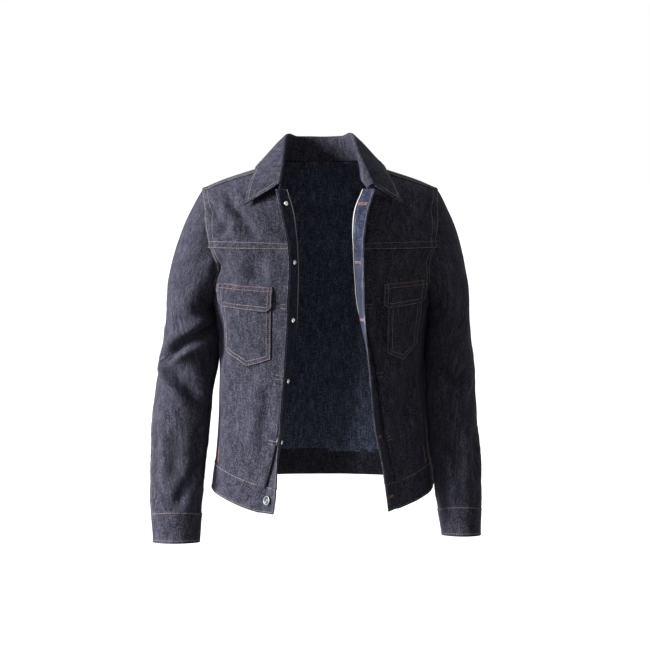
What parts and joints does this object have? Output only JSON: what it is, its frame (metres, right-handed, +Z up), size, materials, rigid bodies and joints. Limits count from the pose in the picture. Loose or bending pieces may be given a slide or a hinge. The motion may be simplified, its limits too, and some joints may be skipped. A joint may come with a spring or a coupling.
{
  "type": "denim jacket",
  "caption": "Short denim jacket worn open, with a turned-down collar, yokes, flap pockets, a waistband, cuffs and metal buttons; hollow, arms at the sides.",
  "frame": {"origin": "centre of the neck base, level with the high points of the shoulders, where the wearer's neck rises", "axes": "+Z up along the wearer's spine, the front of the jacket faces -Y, +X is the wearer's left"},
  "size_m": [0.575, 0.2671, 0.712],
  "materials": {
    "denim": "raw indigo denim, matt",
    "nickel": "dull nickel plate"
  },
  "bodies": {
    "root": {"back_panel": "denim", "back_yoke": "denim", "button_cuff_left": "nickel", "button_cuff_right": "nickel", "button_front_1": "nickel", "button_front_2": "nickel", "button_front_3": "nickel", "button_front_4": "nickel", "button_front_5": "nickel", "button_waist": "nickel", "collar": "denim", "cuff_left": "denim", "cuff_right": "denim", "facing_left": "denim", "facing_right": "denim", "flap_left": "denim", "flap_right": "denim", "front_panel_left": "denim", "front_panel_right": "denim", "front_yoke_left": "denim", "front_yoke_right": "denim", "placket_left": "denim", "placket_right": "denim", "pocket_left": "denim", "pocket_right": "denim", "rivet_cuff_left": "nickel", "rivet_cuff_right": "nickel", "rivet_front_1": "nickel", "rivet_front_2": "nickel", "rivet_front_3": "nickel", "rivet_front_4": "nickel", "rivet_front_5": "nickel", "rivet_waist": "nickel", "sleeve_under_left": "denim", "sleeve_under_right": "denim", "sleeve_upper_left": "denim", "sleeve_upper_right": "denim", "waistband": "denim"}
  },
  "joints": []
}
